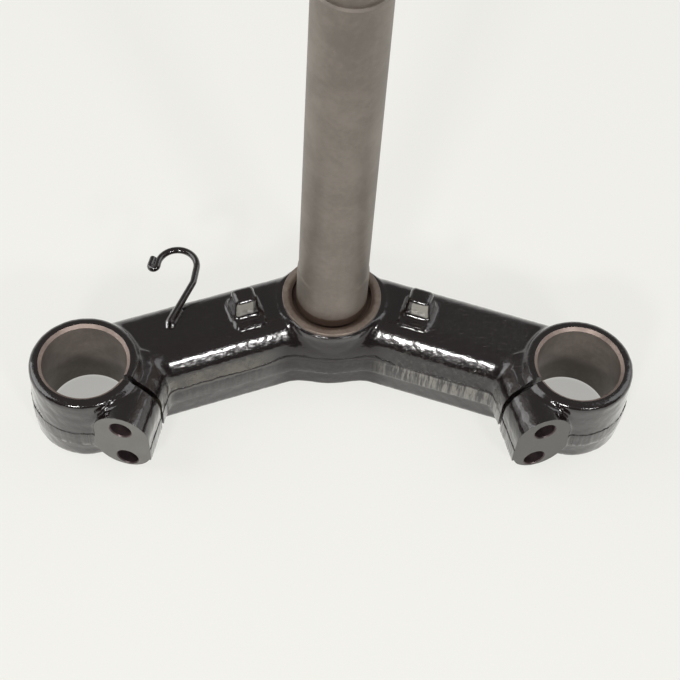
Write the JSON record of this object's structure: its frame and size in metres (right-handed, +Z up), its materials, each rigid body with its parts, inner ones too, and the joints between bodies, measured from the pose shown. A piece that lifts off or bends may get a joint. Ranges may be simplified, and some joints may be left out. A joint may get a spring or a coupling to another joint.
{
  "type": "motorcycle triple clamp",
  "caption": "Forged lower fork yoke with two split clamps, pinch lugs, stop lugs, a pressed steering stem and a welded wire hose guide.",
  "frame": {"origin": "on the steering axis, in the plane of the lower bearing seat", "axes": "+Z up the steering stem, the fork tubes stand towards -Y, which is the front of the motorcycle, and X runs across it from the clamp with the hose guide at -X to the other clamp"},
  "size_m": [0.2954, 0.1057, 0.292],
  "materials": {
    "black_paint": "gloss",
    "bare_steel": "satin"
  },
  "bodies": {
    "root": {"lower_yoke": "black_paint", "steering_stem": "bare_steel", "hose_guide": "black_paint"}
  },
  "joints": []
}
